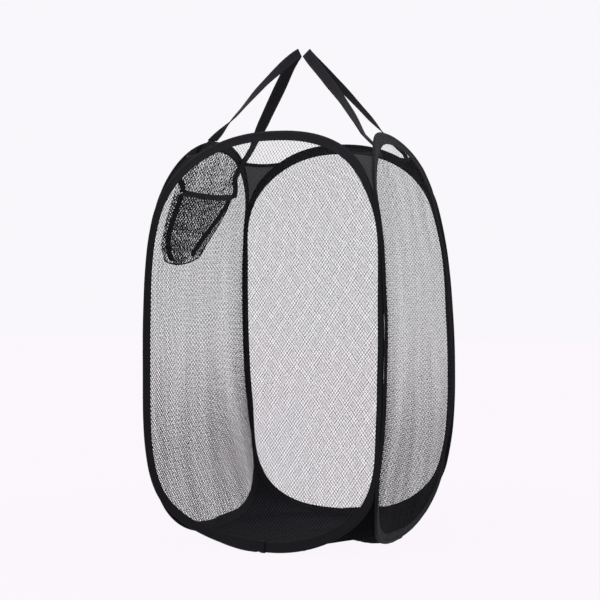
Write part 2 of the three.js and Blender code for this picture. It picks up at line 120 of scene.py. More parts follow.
def mathKit(tree):
    calc = partial(mathOut, tree)
    return calc, *[partial(calc, operation) for operation in ("ADD", "SUBTRACT", "MULTIPLY", "DIVIDE")]


def noiseOut(tree, vector, scale, detail=2.0, **values):
    return outOf(tree, "ShaderNodeTexNoise", vector, Scale=scale, Detail=detail, **values)


def blendOver(tree, value, start, end, fromValue, toValue, kind="SMOOTHSTEP"):
    return outOf(tree, "ShaderNodeMapRange", value, start, end, fromValue, toValue, interpolation_type=kind)


def scaledColour(tree, colour, level):
    return outOf(tree, "ShaderNodeVectorMath", colour, operation="SCALE", Scale=level)


def colourRamp(tree, value, *stops):
    node = addNode(tree, "ShaderNodeValToRGB", value)
    for element, (position, colour) in zip(node.color_ramp.elements, stops):
        element.position = position
        element.color = (*colour, 1)
    return node.outputs[0]


def objectPlace(tree):
    return addNode(tree, "ShaderNodeTexCoord").outputs["Object"]


def seenDirectly(tree):
    # 1 for what the camera, a mirror or glass sees, 0 for light that falls on the object
    path = addNode(tree, "ShaderNodeLightPath").outputs
    both = mathOut(tree, "MAXIMUM", path["Is Camera Ray"], path["Is Glossy Ray"])
    return mathOut(tree, "MAXIMUM", both, path["Is Transmission Ray"])


def emptyTree(owner):
    owner.use_nodes = True
    owner.node_tree.nodes.clear()
    return owner.node_tree


def makeWorld():
    world = bpy.data.worlds.new("studio")
    bpy.context.scene.world = world
    tree = emptyTree(world)
    seen = outOf(tree, "ShaderNodeBackground", (*studio["backdrop"], 1), 1.0)
    light = outOf(tree, "ShaderNodeBackground", (1, 1, 1, 1), studio["worldLight"])
    mix = outOf(tree, "ShaderNodeMixShader", seenDirectly(tree), light, seen)
    addNode(tree, "ShaderNodeOutputWorld", mix)


def makeFloor():
    clearSelection()
    bpy.ops.mesh.primitive_plane_add(size=studio["floorSize"], location=(0, 0, 0))
    floor = bpy.context.object
    floor.name = "studio_floor"
    material = bpy.data.materials.new("studio_floor")
    tree = emptyTree(material)
    diffuse = outOf(tree, "ShaderNodeBsdfDiffuse", (*studio["floorShade"], 1))
    glow = outOf(tree, "ShaderNodeEmission", (*studio["floorGlow"], 1), 1.0)
    away = addNode(tree, "ShaderNodeVectorMath", objectPlace(tree), operation="LENGTH").outputs["Value"]
    fade = blendOver(tree, away, *studio["floorFade"])
    share = mathOut(tree, "MULTIPLY", fade, seenDirectly(tree))
    addNode(tree, "ShaderNodeOutputMaterial", outOf(tree, "ShaderNodeMixShader", share, diffuse, glow))
    floor.data.materials.append(material)


makeCamera()
makeWorld()
makeFloor()
for lampName, lampSettings in lamps.items():
    addLamp(lampName, lampSettings)
bpy.context.scene.view_settings.view_transform = "Standard"
print("camera, light and floor ready")

# cloth, tape, net, webbing and steel
finishes = {
    # a net's cell is wide and tall, and its strands are half widths in cells at the foot, middle and crown; the wider
    # strands at a side net's foot paint shade
    # low scales a net's colour at its foot: painted light on the front and back nets, painted shade on the side nets
    "net": {"colour": (0.012, 0.012, 0.015), "cell": (4.6, 6.2), "strands": (0.057, 0.055, 0.054),
            "folds": 0.10, "drift": 0.5, "speckle": 0.9, "grain": 430.0, "low": 2.5},
    "side_net": {"colour": (0.012, 0.012, 0.015), "cell": (5.6, 6.2), "strands": (0.172, 0.097, 0.070),
                 "folds": 0.6, "drift": 0.5, "speckle": 0.8, "grain": 300.0, "gathered": 0.55, "low": 0.3,
                 "shine": 0.05},
    "pocket_net": {"colour": (0.011, 0.011, 0.014), "cell": (8.9, 6.0), "strands": (0.163, 0.163, 0.148),
                   "folds": 0.3, "drift": 0.9, "speckle": 1.4, "grain": 190.0},
    "pocket_side_net": {"colour": (0.011, 0.011, 0.014), "cell": (4.9, 4.3), "strands": (0.163, 0.163, 0.163),
                        "folds": 0.3, "drift": 0.6, "speckle": 0.9, "grain": 320.0},
    # the tape is painted darker down its sides than along its crown: painted shade below, painted light on the crown
    "tape": {"colour": (0.0085, 0.0085, 0.0108), "pale": (0.016, 0.016, 0.0205), "below": 0.45, "thread": 1.1,
             "ribbed": True, "stitches": ((11.3, 3.2),)},
    "gusset_cloth": {"colour": (0.0085, 0.0085, 0.0105), "pale": (0.018, 0.018, 0.022), "roughness": 0.85,
                     "alpha": 0.955, "thread": 0.9},
    "floor_cloth": {"colour": (0.0060, 0.0060, 0.0075), "pale": (0.0120, 0.0120, 0.0150), "roughness": 0.9,
                    "shine": 0.05, "sheen": 0.0, "thread": 1.0},
    # a darker copy of the floor cloth for the right-hand bottom gussets: painted shade
    "shaded_foot_cloth": {"colour": (0.0022, 0.0022, 0.0028), "pale": (0.0055, 0.0055, 0.0068), "roughness": 0.9,
                   "shine": 0.03, "sheen": 0.0, "thread": 1.0},
    "webbing": {"colour": (0.0080, 0.0082, 0.0105), "pale": (0.019, 0.0195, 0.024), "roughness": 0.75,
                "thread": 1.5, "ribbed": True, "stitches": ((2.2, 3.6), (17.8, 3.6))},
    "steel": {"colour": (0.56, 0.57, 0.59), "streaks": 260.0, "polish": (0.3, 0.7, 0.24, 0.45)},
}
# zones are in millimetres up the cloth, or along it from its middle
netLayout = {"wobble": 80.0, "shadedFootZone": (110, 300), "crownZone": (530, 566), "besideTapeZone": (-172, -118),
             "paintedFootToneZone": (62, 92), "foldScale": (26.0, 3.0, 1.0), "shade": 900.0, "dark": 0.6, "pale": 1.7}
clothLayout = {"cloud": 38.0, "fuzz": 1400.0, "cloudTone": 0.6, "threadTone": 0.22, "fuzzTone": 0.25,
               "darkFrom": 0.3, "paleTo": 0.8, "threadRelief": 0.5, "cloudRelief": 0.9, "stitchRelief": 0.8,
               "stitchHalf": 0.42, "dashShare": 0.68, "stitchPale": 1.9, "paintedLightZone": (0.44, 0.55),
               "bump": {"Strength": 0.45, "Distance": 0.0006}}


def clothPlace(tree):
    # the cloth's own flat place in millimetres: along and across
    flat = outOf(tree, "ShaderNodeUVMap", uv_map="cloth")
    split = addNode(tree, "ShaderNodeSeparateXYZ", flat).outputs
    return *[mathOut(tree, "MULTIPLY", split[axis], 1000.0) for axis in (0, 1)], flat


def netInputs(tree, look):
    (calc, plus, minus, times, over), layout = mathKit(tree), netLayout
    along, across, flat = clothPlace(tree)

    def noiseAbout(vector, scale, size, detail=2.0):
        # noise that swings about zero
        return times(minus(noiseOut(tree, vector, scale, detail), 0.5), size)

    def strandMask(value, width):
        off = calc("ABSOLUTE", minus(calc("FRACT", value), 0.5))
        return calc("LESS_THAN", off, width)

    (wide, tall), (footWidth, midWidth, crownWidth) = look["cell"], look["strands"]
    x = plus(over(along, wide), noiseAbout(flat, layout["wobble"], look["drift"]))
    y = over(across, tall)
    # the knit closes up a little towards the foot, painted shade of the lower net, and in soft upright folds, partly
    # the folds' real bunching and partly their painted shade; it opens at the crown
    shadeToFoot = blendOver(tree, across, *layout["shadedFootZone"], footWidth, midWidth)
    atCrown = blendOver(tree, across, *layout["crownZone"], 0.0, crownWidth - midWidth)
    stretched = outOf(tree, "ShaderNodeMapping", flat, Scale=layout["foldScale"])
    swing = noiseAbout(stretched, 1.0, 2 * look["folds"])
    speckle = noiseAbout(flat, look["grain"], 2 * look["speckle"], 1.0)
    # a side net's knit is drawn denser, and so darker, beside its first upright tape
    gathered = blendOver(tree, along, *layout["besideTapeZone"], 1 + look.get("gathered", 0.0), 1.0)
    spread = times(plus(plus(swing, speckle), 1.0), gathered)
    width = times(plus(shadeToFoot, atCrown), spread)
    strands = calc("MAXIMUM", strandMask(plus(x, y), width), strandMask(minus(x, y), width))
    dark, pale = [[tone * layout[end] for tone in look["colour"]] for end in ("dark", "pale")]
    colour = colourRamp(tree, noiseOut(tree, flat, layout["shade"]), (0.0, dark), (1.0, pale))
    # painted light and shade: the lowest part, over the dark floor and foot cloth, is painted paler on the front and
    # back nets and darker on the side nets
    level = blendOver(tree, across, *layout["paintedFootToneZone"], look.get("low", 1.0), 1.0)
    return {"Alpha": strands, "Base Color": scaledColour(tree, colour, level),
            "Specular IOR Level": look.get("shine", 0.12)}


def clothInputs(tree, look):
    (calc, plus, minus, times, over), layout = mathKit(tree), clothLayout
    along, across, flat = clothPlace(tree)
    warp, weft = [calc("SINE", times(way, 2 * math.pi / look["thread"])) for way in (along, across)]
    weave = warp if look.get("ribbed") else times(warp, weft)
    height = times(plus(weave, 1.0), 0.5)
    cloud = noiseOut(tree, flat, layout["cloud"], 4.0, Roughness=0.6)
    fuzz = noiseOut(tree, flat, layout["fuzz"])
    fine = plus(times(height, layout["threadTone"]), times(fuzz, layout["fuzzTone"]))
    tone = plus(times(cloud, layout["cloudTone"]), fine)
    colour = colourRamp(tree, tone, (layout["darkFrom"], look["colour"]), (layout["paleTo"], look["pale"]))
    relief = plus(times(height, layout["threadRelief"]), times(cloud, layout["cloudRelief"]))
    for row, pitch in look.get("stitches", ()):
        # short thread dashes along a line at this distance across the tape
        line = calc("LESS_THAN", calc("ABSOLUTE", minus(across, row)), layout["stitchHalf"])
        dash = calc("LESS_THAN", calc("FRACT", over(along, pitch)), layout["dashShare"])
        stitch = times(line, dash)
        relief = plus(relief, times(stitch, layout["stitchRelief"]))
        paler = addNode(tree, "ShaderNodeMix", stitch, data_type="RGBA")
        setInputs(tree, paler, {6: colour, 7: (*[tone * layout["stitchPale"] for tone in look["pale"]], 1)})
        colour = paler.outputs[2]
    if "below" in look:
        # painted light and shade: the tape is painted paler along the crown, where the light falls, and darker down
        # the sides
        split = addNode(tree, "ShaderNodeSeparateXYZ", objectPlace(tree)).outputs
        colour = scaledColour(tree, colour, blendOver(tree, split[2], *layout["paintedLightZone"], look["below"], 1.0))
    bump = outOf(tree, "ShaderNodeBump", Height=relief, **layout["bump"])
    return {"Base Color": colour, "Normal": bump, "Specular IOR Level": look.get("shine", 0.16),
            "Sheen Weight": look.get("sheen", 0.02), "Sheen Roughness": 0.4, "Alpha": look.get("alpha", 1.0)}


def steelInputs(tree, look):
    streaks = noiseOut(tree, objectPlace(tree), look["streaks"], 3.0)
    return {"Metallic": 1.0, "Roughness": blendOver(tree, streaks, *look["polish"], "LINEAR")}


materials = {}
for name, look in finishes.items():
    materials[name] = bpy.data.materials.new(name)
    materials[name].use_nodes = True
    tree = materials[name].node_tree
    shader = tree.nodes["Principled BSDF"]
    setInputs(tree, shader, {"Base Color": (*look["colour"], 1), "Roughness": look.get("roughness", 0.8)})
    lookInputs = netInputs if "strands" in look else steelInputs if "streaks" in look else clothInputs
    setInputs(tree, shader, lookInputs(tree, look))
print("materials ready")

# where the sides stand: flat in the frame, drawn in at the crown and foot by the corner gussets
sideShape = {"centre": -2.95, "half": 175.05, "depth": 175.2, "foot": 1.5, "crown": 583.5, "edge": 178.0,
             "crownHeight": 180.0, "footHeight": 145.0, "exponent": 2.3, "archSteps": 90, "runSteps": 60,
             "crownLeanFrom": 380.0, "crownLeanPower": 2.2, "footLeanFrom": 200.0, "footLeanPower": 2.15,
             "bellyAt": 48.0, "bellyHalf": 165.0}
footCorners = {"front": (2.75, 2.3), "right": (2.85, 2.3), "back": (2.3, 2.85), "left": (2.8, 2.9)}  # roundness
crownCorners = {"front": (2.3, 2.3), "right": (2.7, 2.3), "back": (2.3, 3.3), "left": (2.3, 2.3)}
crownRise = {"front": 1.4, "right": 5.0, "back": 2.5, "left": 0.5}  # how far each crown is pulled up
footBelly = {"front": 33.0}  # the foot's middle bows out again
footEase = {"front": 2.5}  # the roundness that a foot's first corner eases to lower down
corners = {"front_right": ("front", "right"), "back_right": ("right", "back"),
           "back_left": ("back", "left"), "front_left": ("left", "front")}
cornerDrift = {  # each upright corner strays sideways by this much at each height, as the cloth pulls it
    "front_left": ((0, 0), (60, 0), (80, 1.2), (103, 0.8), (126, 0), (149, -2.2), (171, -3.0), (205, -3.6),
                  (307, -3.6), (341, -2.6), (375, -1.2), (392, 0), (410, 1.8), (443, 3), (460, 2.5), (477, 0.9),
                  (500, 0.3), (590, 0)),
    "front_right": ((0, 4.5), (60, 4), (100, 1.2), (130, 0.6), (162, 2), (184, 3.3), (216, 4.7), (248, 4.9),
                   (280, 6.1), (312, 6.1), (344, 4.9), (376, 3.5), (408, 2.8), (440, 3.3), (471, 3.3),
                   (487, 2.2), (515, 3.5), (540, 8), (560, 10.5), (590, 10.5)),
    "back_right": ((0, 4), (20, 4), (40, 2.4), (58, 1.3), (77, -0.3), (96, -3.5), (115, -4.9), (130, -3.9),
                  (164, -1), (208, 0.8), (264, 0.3), (301, -1.2), (338, -3.6), (375, -6.3), (394, -8.7),
                  (413, -10.5), (431, -12.4), (450, -13), (469, -12.4), (487, -10), (506, -5.8), (525, -3.2),
                  (543, 0), (562, 3.5), (590, 5)),
    "back_left": ((0, 14), (35, 14), (61, 13), (87, 11.5), (100, 10.5), (126, 9.6), (153, 7), (179, 5.4),
                 (198, 2.6), (218, 0.8), (257, -1.4), (297, -3), (336, -3.6), (375, -4.2), (415, -3.6), (454, -3.2),
                 (474, -1), (493, 2), (513, 3), (590, 2)),
}
leans = {"front": (47.0, 29.0), "right": (56.0, 36.0), "back": (53.0, 27.0), "left": (33.0, 28.0)}
turns = {"front": 0, "right": 1, "back": 2, "left": 3}
sideEnds = {side: [next(corner for corner in corners if corners[corner][end] == side) for end in (1, 0)]
            for side in turns}  # each side's first and last corner
driftStep, driftWindow, driftTop = 4, 16, 600  # the drift is smoothed over this much height


def between(a, b, share):
    return a + (b - a) * share


def smoothStep(value):
    value = min(max(value, 0.0), 1.0)
    return value * value * (3 - 2 * value)


def footShare(z):
    # 1 at the foot, 0 from where the side stands upright
    start = sideShape["footLeanFrom"]
    return max(0.0, (start - z) / (start - sideShape["foot"])) ** sideShape["footLeanPower"]


def leanAt(side, z):
    crownLean, footLean = leans[side]
    start = sideShape["crownLeanFrom"]
    up = max(0.0, (z - start) / (sideShape["crown"] - start))
    return crownLean * up ** sideShape["crownLeanPower"] + footLean * footShare(z)


def alongShare(u):
    return (u + sideShape["edge"]) / (2 * sideShape["edge"])


def driftAt(corner, z):
    table = cornerDrift[corner]
    for (z0, d0), (z1, d1) in zip(table, table[1:]):
        if z <= z1:
            return d0 + (d1 - d0) * max(0.0, z - z0) / (z1 - z0)
    return table[-1][1]


smoothDrift, driftSpan = {}, range(-driftWindow, driftWindow + 1, driftStep)
for corner in cornerDrift:
    smoothDrift[corner] = [sum(driftAt(corner, z + step) for step in driftSpan) / len(driftSpan)
                           for z in range(0, driftTop + 1, driftStep)]


def sideDrift(side, u, z):
    # how far this place on a side strays along x
    spot = min(max(z / driftStep, 0.0), driftTop / driftStep - 1.01)
    row = int(spot)
    first, last = [between(*smoothDrift[end][row:row + 2], spot - row) for end in sideEnds[side]]
    return between(first, last, min(max(alongShare(u), 0.0), 1.0))


def turned(side, x, y, z):
    for _ in range(turns[side]):
        x, y = -y, x
    return Vector((x, y, z)) * mm


def place(side, u, b, z):
    bow = (1 - min(abs(u - sideShape["bellyAt"]) / sideShape["bellyHalf"], 1.0) ** 2) ** 2
    belly = footBelly.get(side, 0.0) * bow * footShare(z)
    point = turned(side, u, b + leanAt(side, z) - belly - sideShape["depth"], z)
    point.x += sideDrift(side, u, z) * mm
    return point


def foldPlane(side):
    return turned(side, 0, -sideShape["depth"], 0)


def enter(piece, side, node=None, body=None):
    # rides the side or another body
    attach(piece, body or side)
    foldPlane(side)
    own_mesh(piece)
    if node:
        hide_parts(node)


def loopOutline(side):
    shape, points = sideShape, []
    footMiddle = shape["foot"] + shape["footHeight"]
    crownMiddle = shape["crown"] - shape["crownHeight"]

    def arch(fromTurn, toTurn, middleZ, rise, exponent, topExponent=None):
        # the exponent may ease to another one towards the top of the arch
        for i in range(shape["archSteps"]):
            turn = math.radians(fromTurn + (toTurn - fromTurn) * i / shape["archSteps"])
            ease = smoothStep(abs(math.sin(turn))) if topExponent else 0.0
            power = 2 / between(exponent, topExponent or exponent, ease)
            across, up = [math.copysign(abs(way) ** power, way) for way in (math.cos(turn), math.sin(turn))]
            points.append((shape["centre"] + shape["half"] * across, middleZ + rise * up))

    def upright(u, fromZ, toZ):
        for i in range(shape["runSteps"]):
            points.append((u, fromZ + (toZ - fromZ) * i / shape["runSteps"]))

    lowFirst, lowLast = footCorners[side]
    crownFirst, crownLast = crownCorners[side]
    crownHeight = shape["crownHeight"] + crownRise[side]
    arch(-90, 0, footMiddle, shape["footHeight"], lowLast)
    upright(shape["centre"] + shape["half"], footMiddle, crownMiddle)
    arch(0, 90, crownMiddle, crownHeight, crownLast, shape["exponent"])
    arch(90, 180, crownMiddle, crownHeight, crownFirst, shape["exponent"])
    upright(shape["centre"] - shape["half"], crownMiddle, footMiddle)
    arch(180, 270, footMiddle, shape["footHeight"], lowFirst, footEase.get(side))
    return points


def lengthsAlong(points):
    return [0.0, *accumulate(math.dist(a, b) for a, b in zip(points, points[1:]))]


def evenly(points, count):
    # places set evenly along a run of points, without its last one
    marks, result, k = lengthsAlong(points), [], 0
    for i in range(count):
        target = marks[-1] * i / count
        while marks[k + 1] < target:
            k += 1
        share = (target - marks[k]) / (marks[k + 1] - marks[k])
        result.append([between(first, last, share) for first, last in zip(points[k], points[k + 1])])
    return result, marks[-1]


loopStations = 240
loops, loopInward = {}, {}
for side in turns:
    outline = loopOutline(side)
    loops[side], loopLength = evenly(outline + outline[:1], loopStations)
    loopInward[side] = []
    for i in range(loopStations):
        before, after = loops[side][i - 1], loops[side][(i + 1) % loopStations]
        along = Vector((after[0] - before[0], after[1] - before[1])).normalized()
        loopInward[side].append(Vector((-along.y, along.x)))


tapeWidths = {  # each side's two upright tapes: low and high
    "front": ((11.4, 10.4), (8.4, 5.6)), "right": ((8.0, 7.2), (8.8, 10.5)),
    "back": ((11.6, 9.6), (5.4, 5.4)), "left": ((6.6, 6.6), (8.6, 8.6))}
tapeChange = (312.0, 90.0)  # where the width starts to change, and over what height
levelWidth, crownWidths = 13.8, {"right": 17.0}  # along the foot and crown, where the tape is wider
crownFrom = 300.0  # above this height a level tape is the crown's
wireInset = 2.6
nearby = 6  # a loop's points this close along the side count as beside a place


def tapeWidthAt(side, i):
    u, z = loops[side][i]
    high = smoothStep((z - tapeChange[0]) / tapeChange[1])
    first, last = [between(low, top, high) for low, top in tapeWidths[side]]
    upright = between(first, last, smoothStep(alongShare(u)))
    level = crownWidths.get(side, levelWidth) if z > crownFrom else levelWidth
    return between(upright, level, abs(loopInward[side][i].y))


def insetPoint(side, i, inset):
    point, inward = loops[side][i], loopInward[side][i]
    return (point[0] + inward.x * inset, point[1] + inward.y * inset)


def spanAt(loop, z):
    # where an outline's two uprights stand at this height
    hits = []
    for a, b in zip(loop, loop[1:] + loop[:1]):
        if (a[1] - z) * (b[1] - z) <= 0 and a[1] != b[1]:
            hits.append(a[0] + (b[0] - a[0]) * (z - a[1]) / (b[1] - a[1]))
    return min(hits), max(hits)


tapeCores = {side: [insetPoint(side, i, wireInset) for i in range(loopStations)] for side in turns}


# making and finishing a piece
def finishPiece(obj, name, material, smooth=40):
    obj.name = obj.data.name = name
    obj.data.materials.clear()
    obj.data.materials.append(materials[material])
    pick(obj)
    bpy.ops.object.shade_smooth_by_angle(angle=math.radians(smooth))
    return obj


def applyModifier(obj, kind, **settings):
    pick(obj)
    setAll(obj.modifiers.new("shape", kind), settings)
    bpy.ops.object.modifier_apply(modifier="shape")


def outwardNormals(obj, mergeWithin=None):
    pick(obj)
    bpy.ops.object.mode_set(mode="EDIT")
    bpy.ops.mesh.select_all(action="SELECT")
    if mergeWithin:
        bpy.ops.mesh.remove_doubles(threshold=mergeWithin)
    bpy.ops.mesh.normals_make_consistent(inside=False)
    bpy.ops.object.mode_set(mode="OBJECT")


def clothLayer(obj):
    layers = obj.data.uv_layers
    layer = layers[0] if len(layers) else layers.new(name="cloth")
    layer.name = "cloth"
    return layer


leastArea, seamAllowance = 0.31, 1.02  # shares of the flat size


def sheetFrom(piece, flat=None):
    # the cut's size, read from the cloth's flat map unless a size is given; it is not passed on
    if flat is None:
        spots = [item.uv for item in piece.data.uv_layers["cloth"].data]
        flat = tuple((max(way) - min(way)) * seamAllowance for way in zip(*spots))


def clothGrid(name, columns, rows, spot, flatSpot, material, thickness=0.0, bevel=0.0):
    # a grid primitive whose points are laid on the sewn shape; spot and flatSpot take shares across and up
    clearSelection()
    bpy.ops.mesh.primitive_grid_add(x_subdivisions=columns, y_subdivisions=rows, size=2)
    obj = bpy.context.object
    mesh = obj.data
    shares = [((v.co.x + 1) / 2, (v.co.y + 1) / 2) for v in mesh.vertices]
    layer = clothLayer(obj)
    for loop in mesh.loops:
        layer.data[loop.index].uv = flatSpot(*shares[loop.vertex_index])
    for vertex, share in zip(mesh.vertices, shares):
        vertex.co = spot(*share)
    if thickness:
        applyModifier(obj, "SOLIDIFY", thickness=thickness, offset=0)
    if bevel:
        applyModifier(obj, "BEVEL", width=bevel, segments=2, limit_method="ANGLE")
    return finishPiece(obj, name, material)


def ringPiece(name, profile, spot, material):
    # a torus primitive whose rings are laid along a side's loop; profile gives each ring's points
    clearSelection()
    stations, count = loopStations, len(profile(0))
    bpy.ops.mesh.primitive_torus_add(major_segments=stations, minor_segments=count, major_radius=1,
                                     minor_radius=0.2, generate_uvs=True)
    obj = bpy.context.object
    mesh = obj.data
    runs = []
    for i in range(stations):
        points = profile(i)
        runs.append(lengthsAlong(points + points[:1]))
        for j, (w, d) in enumerate(points):
            mesh.vertices[i * count + j].co = spot(i, w, d)
    layer = clothLayer(obj)
    for face in mesh.polygons:
        rings, places = zip(*[divmod(n, count) for n in face.vertices])
        for k, ring, j in zip(face.loop_indices, rings, places):
            # the faces that close each way round end at the far side of the flat map
            closing = stations if ring == 0 and max(rings) == stations - 1 else 0
            end = count if j == 0 and max(places) == count - 1 else 0
            layer.data[k].uv = ((ring + closing) / stations * loopLength * mm, runs[ring][j + end] * mm)
    outwardNormals(obj)
    return finishPiece(obj, name, material, 50)


def strapPiece(name, path, widths, look, material):
    # a strip of grid laid along a path, given a wall and softened edges; look: width, thickness and bevel
    lengths, rows = lengthsAlong(path), len(path) - 1
    width, thickness, bevel = [size * mm for size in look]

    def spot(across, up):
        k = round(up * rows)
        return path[k] + widths[k] * (across - 0.5) * width

    def flat(across, up):
        return (lengths[round(up * rows)], across * width)

    return clothGrid(name, 4, rows, spot, flat, material, thickness, bevel)


def evenPath(points, count):
    # points set evenly along a smooth run through the given ones
    run, steps = [], 16
    ends = [points[0], *points, points[-1]]
    for before, a, b, after in zip(ends, ends[1:], ends[2:], ends[3:]):
        for k in range(steps):
            t = k / steps
            run.append(0.5 * ((2 * a) + (b - before) * t + (2 * before - 5 * a + 4 * b - after) * t * t
                              + (3 * a - before - 3 * b + after) * t ** 3))
    run.append(points[-1])
    return [Vector(spot) for spot in evenly(run, count)[0]] + [run[-1].copy()]


def squareTo(path, k, way, share=1.0):
    # a width direction turned square to the path at this point
    along = (path[min(k + 1, len(path) - 1)] - path[max(k - 1, 0)]).normalized()
    return (way - along * way.dot(along) * share).normalized()


# bindings, with the spring wire loops and their ferrules inside
bindingLook = {
    "puff": 2.35, "lip": 0.85, "edge": 0.6, "pucker": 0.22, "waver": 0.9,
    "bead": ((0.1, 1.0, 0.6), (1.2, 0.5, 0.92), (2.6, 0.0, 1.0), (3.8, 0.0, 0.84)),  # place, pull when proud, height
    "neck": (4.8, 1.4, 0.56),
    "flat": ((2.9, 4.4, 1.15), (2.0, 4.7, 0.8), (0.9, 5.0, 1.0)),  # off the inner edge, least place, height
    "inner": (5.3, 0.3, 0.45), "wireRadius": 1.0, "wireSides": 8,
    "ferruleRadius": 1.5, "ferruleLength": 24, "ferruleRim": 0.3, "ferruleLift": 0.05,
    "joinFrom": -72.0, "joinTo": 7.0, "joinBelow": 60, "joinProud": (0.15, 3.0), "joinWrap": 34, "joinLift": 0.2,
}
bindings = {}


def tapeProfile(side, i, proud=0.0):
    look, width = bindingLook, tapeWidthAt(side, i)
    puff, lip = look["puff"] + proud * 0.5, look["lip"] + proud * 0.5
    (neckMost, neckOff, neckHigh), (innerLeast, innerPull, innerHigh) = look["neck"], look["inner"]
    top = [(-proud - look["edge"], 0.0), *[(w - proud * pull, puff * high) for w, pull, high in look["bead"]],
           (min(neckMost, width - neckOff), puff * neckHigh),
           *[(max(width - off, least), lip * high) for off, least, high in look["flat"]],
           (max(width, innerLeast) + proud * innerPull, lip * innerHigh)]
    return top + [(w, -d) for w, d in reversed(top[1:])]


def tapeSpot(side, i, w, d):
    seed = turns[side] * 31.7
    u, z = insetPoint(side, i, w)
    pucker = noise.noise(Vector((i * 0.33 + seed, w * 0.12, d * 0.2))) * bindingLook["pucker"]
    wave = noise.noise(Vector((i * 0.05 + seed, 3.1, 0))) * bindingLook["waver"]
    return place(side, u, d * (1 + pucker) + wave, z)


def wireProfile(i):
    radius, sides = bindingLook["wireRadius"], bindingLook["wireSides"]
    return [(math.cos(2 * math.pi * t / sides) * radius, math.sin(2 * math.pi * t / sides) * radius)
            for t in range(sides)]


def wireSpot(side, i, w, d):
    u, z = insetPoint(side, i, wireInset + w)
    return place(side, u, d, z)


def makeFerrule(side):
    # a short tube at the middle of the foot
    clearSelection()
    spot = place(side, sideShape["centre"], 0, sideShape["foot"] + wireInset + bindingLook["ferruleLift"])
    sideways = (place(side, 10, 0, 3) - place(side, 0, 0, 3)).normalized()
    bpy.ops.mesh.primitive_cylinder_add(vertices=20, radius=bindingLook["ferruleRadius"] * mm,
                                        depth=bindingLook["ferruleLength"] * mm, location=spot,
                                        rotation=sideways.to_track_quat("Z", "Y").to_euler())
    ferrule = bpy.context.object
    bpy.ops.object.transform_apply(location=True, rotation=True, scale=True)
    applyModifier(ferrule, "BEVEL", width=bindingLook["ferruleRim"] * mm, segments=2)
    return finishPiece(ferrule, f"{side}_ferrule", "steel")


def makeSleeve(side):
    # the binding's ends overlap in a short sleeve beside the middle of the foot
    first, last, (proud, moreProud) = bindingLook["joinFrom"], bindingLook["joinTo"], bindingLook["joinProud"]
    rings = [i for i, (u, z) in enumerate(loops[side]) if first <= u <= last and z < bindingLook["joinBelow"]]
    profiles = [tapeProfile(side, i, proud + moreProud * (loops[side][i][0] - first) / (last - first))
                for i in rings]
    count = len(profiles[0])

    def spot(across, up):
        k = round(up * (len(rings) - 1))
        point = tapeSpot(side, rings[k], *profiles[k][round(across * count) % count])
        point.z = max(point.z, bindingLook["joinLift"] * mm)
        return point

    def flat(across, up):
        return (up * len(rings) * loopLength / loopStations * mm, across * bindingLook["joinWrap"] * mm)

    sleeve = clothGrid(f"{side}_tape_join", count, len(rings) - 1, spot, flat, "tape")
    outwardNormals(sleeve, 0.00001)
    return sleeve


for side in turns:
    bindings[side] = ringPiece(f"{side}_tape", partial(tapeProfile, side), partial(tapeSpot, side), "tape")
    enter(bindings[side], side, f"{side}_binding")
    wire = ringPiece(f"{side}_spring_wire", wireProfile, partial(wireSpot, side), "steel")
    enter(wire, side, f"{side}_wire_loop")
    enter(makeFerrule(side), side, f"{side}_wire_ferrule")
    enter(makeSleeve(side), side)
print("bindings and wires ready")

# mesh sides
netLook = {"tuck": 3.0, "columns": 44, "rows": 70, "inset": 0.4, "firstRow": 0.035, "rowSpread": 0.93,
           "billow": 3.52, "ripple": 0.35, "calmSides": 4, "calmEnds": 5}
netLoops = {side: [insetPoint(side, i, tapeWidthAt(side, i) - netLook["tuck"]) for i in range(loopStations)]
            for side in turns}
netLow = max(min(z for u, z in loop) for loop in netLoops.values()) + netLook["inset"]


def makeSideNet(side):
    high = max(z for u, z in netLoops[side]) - netLook["inset"]

    @cache
    def rowAt(up):
        # the rows lie closer together at the crown and foot
        turn = math.pi * (netLook["firstRow"] + netLook["rowSpread"] * up)
        z = between(netLow, high, 0.5 - 0.5 * math.cos(turn))
        return *spanAt(netLoops[side], z), z

    def spot(across, up):
        left, right, z = rowAt(up)
        u = between(left, right, across)
        calm = min(1.0, netLook["calmSides"] * min(across, 1 - across))
        calm *= min(1.0, netLook["calmEnds"] * min(up, 1 - up))
        swell = noise.noise(Vector((u * 0.008, z * 0.006, turns[side] * 9.0))) * netLook["billow"]
        swell += math.sin(u * 0.045 + z * 0.012) * netLook["ripple"]
        return place(side, u, swell * calm, z)

    def flat(across, up):
        left, right, z = rowAt(up)
        return (between(left, right, across) * mm, z * mm)

    return clothGrid(f"{side}_net", netLook["columns"], netLook["rows"], spot, flat,
                     "net" if side in ("front", "back") else "side_net")


for side in turns:
    net = makeSideNet(side)
    enter(net, side, f"{side}_mesh")
    sheetFrom(net)
print("mesh sides ready")

